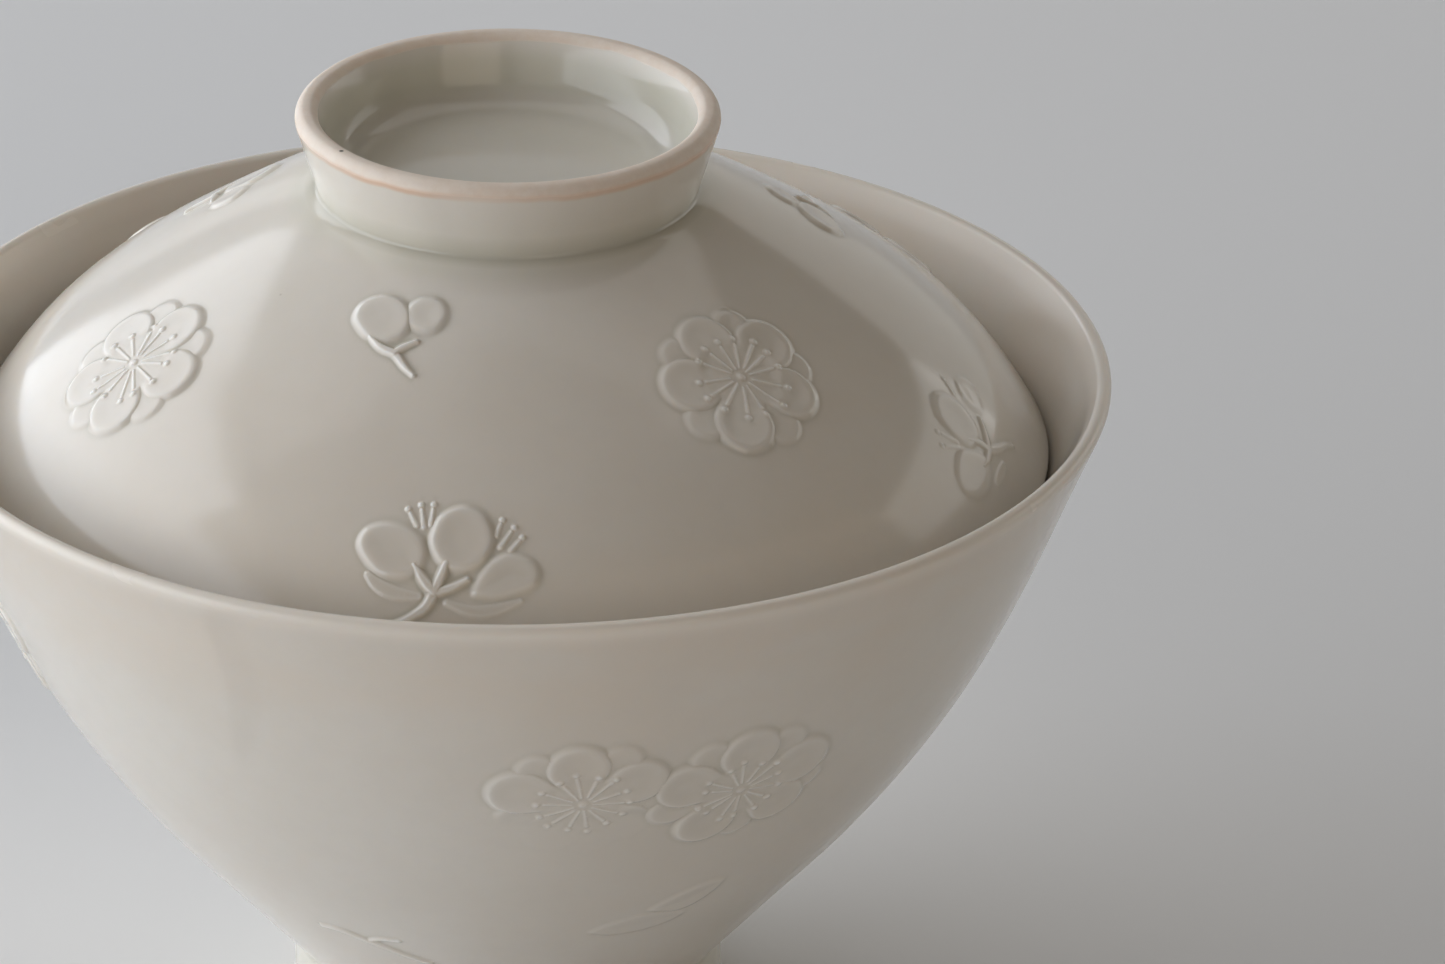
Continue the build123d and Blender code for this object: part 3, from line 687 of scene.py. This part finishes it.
def porcelain(name, bare_zone, tint_zone, warm_zone, lip_zone, specks):
    """Clear glaze over warm white clay. The zones give masks from place."""
    mat, tree = nodes_of(name)
    g = Graph(tree)
    where = g.node("ShaderNodeTexCoord").outputs["Object"]
    sep = g.node("ShaderNodeSeparateXYZ")
    g.put(sep.inputs[0], where)
    x, y, z = sep.outputs
    radius = g.math("SQRT", g.math("ADD", g.math("MULTIPLY", x, x), g.math("MULTIPLY", y, y)))
    glaze_pool_and_shade = g.node("ShaderNodeAttribute", attribute_name="glaze_pool_and_shade").outputs["Fac"]
    thin = g.node("ShaderNodeAttribute", attribute_name="thin").outputs["Fac"]

    cloud = g.noise(where, 26, 3, 0.55)
    fine = g.noise(where, 420, 3, 0.6)
    body = g.mix(g.span(cloud, 0.35, 0.68), (0.735, 0.692, 0.622, 1), (0.705, 0.652, 0.572, 1))
    body = g.mix(g.math("MULTIPLY", g.span(g.noise(where, 60, 2, 0.5), 0.52, 0.75), 0.35), body, (0.715, 0.640, 0.545, 1))
    body = g.mix(g.math("MULTIPLY", g.span(fine, 0.40, 0.65), 0.07), body, (0.62, 0.58, 0.52, 1))
    flat = g.node("ShaderNodeVectorMath", operation="MULTIPLY")
    g.put(flat.inputs[0], where)
    flat.inputs[1].default_value = (1.0, 1.0, 3.2)
    streak = g.noise(flat.outputs[0], 38, 2, 0.55)
    body = g.mix(g.math("MULTIPLY", warm_zone(g, radius, z), g.span(streak, 0.36, 0.62, 0.25, 1.0)), body, (0.735, 0.630, 0.515, 1))
    tint = tint_zone(g, radius, z)
    body = g.mix(tint, body, (0.600, 0.592, 0.490, 1))
    # Darker and greener in hollows and round the relief: partly real pooled glaze, partly painted shade in the creases.
    body = g.mix(g.math("MULTIPLY", glaze_pool_and_shade, 0.55, clamp=True), body, (0.455, 0.425, 0.330, 1))
    # Paler over edges, ridges and the section's outward bends: partly glaze run thin, partly painted highlight.
    body = g.mix(g.math("MULTIPLY", thin, 0.70, clamp=True), body, (0.850, 0.825, 0.775, 1))
    lip = lip_zone(g, radius, z)
    if lip is not None:
        body = g.mix(lip, body, (0.800, 0.735, 0.645, 1))

    bare, flash = bare_zone(g, where, radius, z)
    grain = g.noise(where, 900, 4, 0.65)
    clay = g.mix(g.span(grain, 0.3, 0.7), (0.755, 0.637, 0.530, 1), (0.800, 0.697, 0.595, 1))
    clay = g.mix(g.math("MULTIPLY", g.span(g.noise(where, 90, 3, 0.6), 0.45, 0.7), 0.5), clay, (0.810, 0.718, 0.622, 1))
    body = g.mix(bare, body, clay)
    body = g.mix(flash, body, (0.700, 0.470, 0.320, 1))
    for place_mm, size_mm, colour in specks:
        n = g.node("ShaderNodeVectorMath", operation="DISTANCE")
        g.put(n.inputs[0], where)
        n.inputs[1].default_value = [c * 0.001 for c in place_mm]
        spot = g.span(n.outputs["Value"], size_mm * 0.001, size_mm * 0.0004)
        body = g.mix(spot, body, colour)

    peel = g.noise(where, 300, 2, 0.5)
    ripple = g.noise(where, 70, 1, 0.4)
    bump = g.node("ShaderNodeBump")
    bump.inputs["Strength"].default_value = 0.35
    bump.inputs["Distance"].default_value = 0.0001
    high = g.math("ADD", g.math("MULTIPLY", peel, 0.05), g.math("MULTIPLY", ripple, 0.25))
    high = g.math("ADD", high, g.math("MULTIPLY", g.math("MULTIPLY", grain, bare), 0.9))
    g.put(bump.inputs["Height"], high)

    shader = g.node("ShaderNodeBsdfPrincipled")
    g.put(shader.inputs["Base Color"], body)
    gloss = g.span(g.noise(where, 45, 3, 0.6), 0.35, 0.7, 0.11, 0.16)
    gloss = g.math("ADD", gloss, g.math("MULTIPLY", bare, 0.55))
    if lip is not None:
        gloss = g.math("ADD", gloss, g.math("MULTIPLY", lip, 0.24))
    g.put(shader.inputs["Roughness"], gloss)
    shader.inputs["IOR"].default_value = 1.5
    shader.inputs["Subsurface Weight"].default_value = 0.35
    shader.inputs["Subsurface Radius"].default_value = (1.0, 0.8, 0.6)
    shader.inputs["Subsurface Scale"].default_value = 0.0012
    g.put(shader.inputs["Normal"], bump.outputs["Normal"])
    out = g.node("ShaderNodeOutputMaterial")
    g.put(out.inputs["Surface"], shader.outputs["BSDF"])
    return mat


def foot_bare(g, where, radius, z):
    wob = g.math("MULTIPLY", g.math("SUBTRACT", g.noise(where, 130, 3, 0.6), 0.5), 0.0009)
    level = g.math("ADD", z, wob)
    bare = g.span(level, 0.00125, 0.00095)
    flash = g.math("MULTIPLY", g.span(level, 0.0009, 0.00125), g.span(level, 0.0018, 0.0013))
    return bare, g.math("MULTIPLY", flash, 0.55)


def knob_bare(g, where, radius, z):
    wob = g.math("MULTIPLY", g.math("SUBTRACT", g.noise(where, 130, 3, 0.6), 0.5), 0.0008)
    level = g.math("ADD", z, wob)
    outside = g.span(radius, 0.0194, 0.0200)
    bare = g.math("MULTIPLY", g.span(g.math("ADD", level, g.math("MULTIPLY", outside, 0.00035)), 0.09760, 0.09790), 0.92)
    flash = g.math("MULTIPLY", g.math("MULTIPLY", g.span(level, 0.09670, 0.09718), g.span(level, 0.09775, 0.0973)), outside)
    return bare, g.math("MULTIPLY", flash, g.span(g.noise(where, 55, 2, 0.5), 0.35, 0.65, 0.30, 0.75))


def lid_tint(g, radius, z):
    """Green-grey where the glaze is deep: inside the knob ring and down its outer wall."""
    ring = g.math("MULTIPLY", g.span(radius, 0.0188, 0.0180), g.span(z, 0.0921, 0.0942, 0.30, 1.0))
    ring = g.math("MULTIPLY", ring, g.span(z, 0.0905, 0.0915))
    wall_ = g.math("MULTIPLY", g.span(radius, 0.0225, 0.0205), g.span(z, 0.0975, 0.0905, 0.0, 0.45))
    return g.math("MULTIPLY", g.math("MAXIMUM", ring, wall_), 0.62)


def lid_warm(g, radius, z):
    """Slightly toasted over the lid's slope."""
    return g.math("MULTIPLY", g.span(radius, 0.022, 0.034), 0.16)


def bowl_warm(g, radius, z):
    """Toasted patches under the bowl's rim, outside, fading down the wall."""
    return g.math("MULTIPLY", g.span(z, 0.050, 0.066), 0.42)


def no_lip(g, radius, z):
    return None


def bowl_lip(g, radius, z):
    """Paler where the glaze has run thin over the bowl's lip, outside and in."""
    return g.math("MULTIPLY", g.span(z, 0.0680, 0.0698), 0.5)


def bowl_tint(g, radius, z):
    low = g.math("MULTIPLY", g.span(z, 0.012, 0.007), g.span(radius, 0.030, 0.024))
    return g.math("MULTIPLY", low, 0.45)


DARK, BROWN = (0.10, 0.085, 0.07, 1), (0.34, 0.25, 0.18, 1)
lid_mesh.data.materials.append(porcelain("glazed_porcelain_lid", knob_bare, lid_tint, lid_warm, no_lip, [
    ((-16.1, -11.6, 98.45), 0.30, DARK), ((-21.9, -17.0, 85.5), 0.30, BROWN), ((-14.6, -45.6, 70.6), 0.26, BROWN), ((27.9, -29.0, 79.6), 0.26, DARK)]))
bowl_mesh.data.materials.append(porcelain("glazed_porcelain_bowl", foot_bare, bowl_tint, bowl_warm, bowl_lip, []))

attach(bowl_mesh, "bowl")
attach(lid_mesh, "lid")
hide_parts("bowl", "bowl_plum_blossoms", "bowl_leaf_sprays")
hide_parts("lid", "lid_plum_blossoms", "lid_side_blossoms", "lid_plum_buds")

# ------------------------------------------------------------------ floor and light
floor_data = bpy.data.meshes.new("floor")
floor_data.from_pydata([(-0.9, -2.2, 0), (2.0, -2.2, 0), (2.0, 2.6, 0), (-0.9, 2.6, 0)], [], [(0, 1, 2, 3)])
floor = bpy.data.objects.new("floor", floor_data)
bpy.context.scene.collection.objects.link(floor)
mat, tree = nodes_of("studio_floor")
g = Graph(tree)
shader = g.node("ShaderNodeBsdfPrincipled")
shader.inputs["Base Color"].default_value = (0.79, 0.79, 0.79, 1)
shader.inputs["Roughness"].default_value = 0.7
shader.inputs["Specular IOR Level"].default_value = 0.25
g.put(g.node("ShaderNodeOutputMaterial").inputs["Surface"], shader.outputs["BSDF"])
floor_data.materials.append(mat)


def panel(name, low, high, glow):
    """A soft panel lying along two axes, facing the object; glow is its radiance in r, g, b."""
    low, high = Vector(low), Vector(high)
    span, centre = high - low, (high + low) / 2
    data = bpy.data.lights.new(name, "AREA")
    data.shape = "RECTANGLE"
    if span.x == 0:
        facing, data.size, data.size_y = Vector((-math.copysign(1, centre.x), 0, 0)), span.y, span.z
    elif span.y == 0:
        facing, data.size, data.size_y = Vector((0, -math.copysign(1, centre.y), 0)), span.x, span.z
    else:
        facing, data.size, data.size_y = Vector((0, 0, -1)), span.x, span.y
    data.energy = data.size * data.size_y * math.pi * max(glow)
    data.color = [c / max(glow) for c in glow]
    obj = bpy.data.objects.new(name, data)
    bpy.context.scene.collection.objects.link(obj)
    obj.location = centre
    obj.rotation_mode = "QUATERNION"
    obj.rotation_quaternion = facing.to_track_quat("-Z", "Y")
    obj.visible_camera = False
    return obj


panel("window", (-0.9, -0.05, 0.0), (-0.9, 1.6, 1.14), (2.02, 2.12, 2.27))
panel("window_far", (-0.9, 1.6, 0.0), (-0.9, 3.4, 1.14), (0.28, 0.3, 0.33))
panel("window_front", (-0.9, -1.3, 0.0), (-0.9, -0.05, 0.8), (1.68, 1.78, 1.95))
panel("window_sill", (-0.9, -0.5, 0.0), (-0.9, 0.3, 0.3), (3, 3.14, 3.26))
panel("backdrop_left", (-1.0, 2.6, 0.0), (0.2, 2.6, 1.4), (0.52, 0.52, 0.51))
panel("backdrop_right", (0.2, 2.6, 0.0), (2.4, 2.6, 1.3), (0.62, 0.61, 0.585))
panel("wall_right_back", (2.0, 0.3, 0.0), (2.0, 2.4, 1.2), (0.97, 0.97, 0.95))
panel("wall_right_front", (2.0, -1.8, 0.0), (2.0, 0.3, 1.4), (0.08, 0.09, 0.09))
panel("front_left", (-2.0, -2.2, 0.2), (-0.2, -2.2, 2.0), (0.5, 0.46, 0.43))
panel("front_right", (0.2, -2.2, 0.2), (2.0, -2.2, 2.0), (1.1, 0.935, 0.76))
panel("ceiling_back", (-1.5, 0.2, 2.2), (1.5, 2.4, 2.2), (0.70, 0.675, 0.645))

world = bpy.data.worlds.new("studio")
bpy.context.scene.world = world
world.use_nodes = True
world.node_tree.nodes["Background"].inputs["Color"].default_value = (0.50, 0.50, 0.49, 1)
world.node_tree.nodes["Background"].inputs["Strength"].default_value = 1.0
# the pale background past the floor's edge is only seen: all the light comes from the panels
seen = world.cycles_visibility
seen.camera = True
seen.diffuse = seen.glossy = seen.transmission = seen.scatter = False
bpy.context.scene.view_settings.view_transform = "Standard"
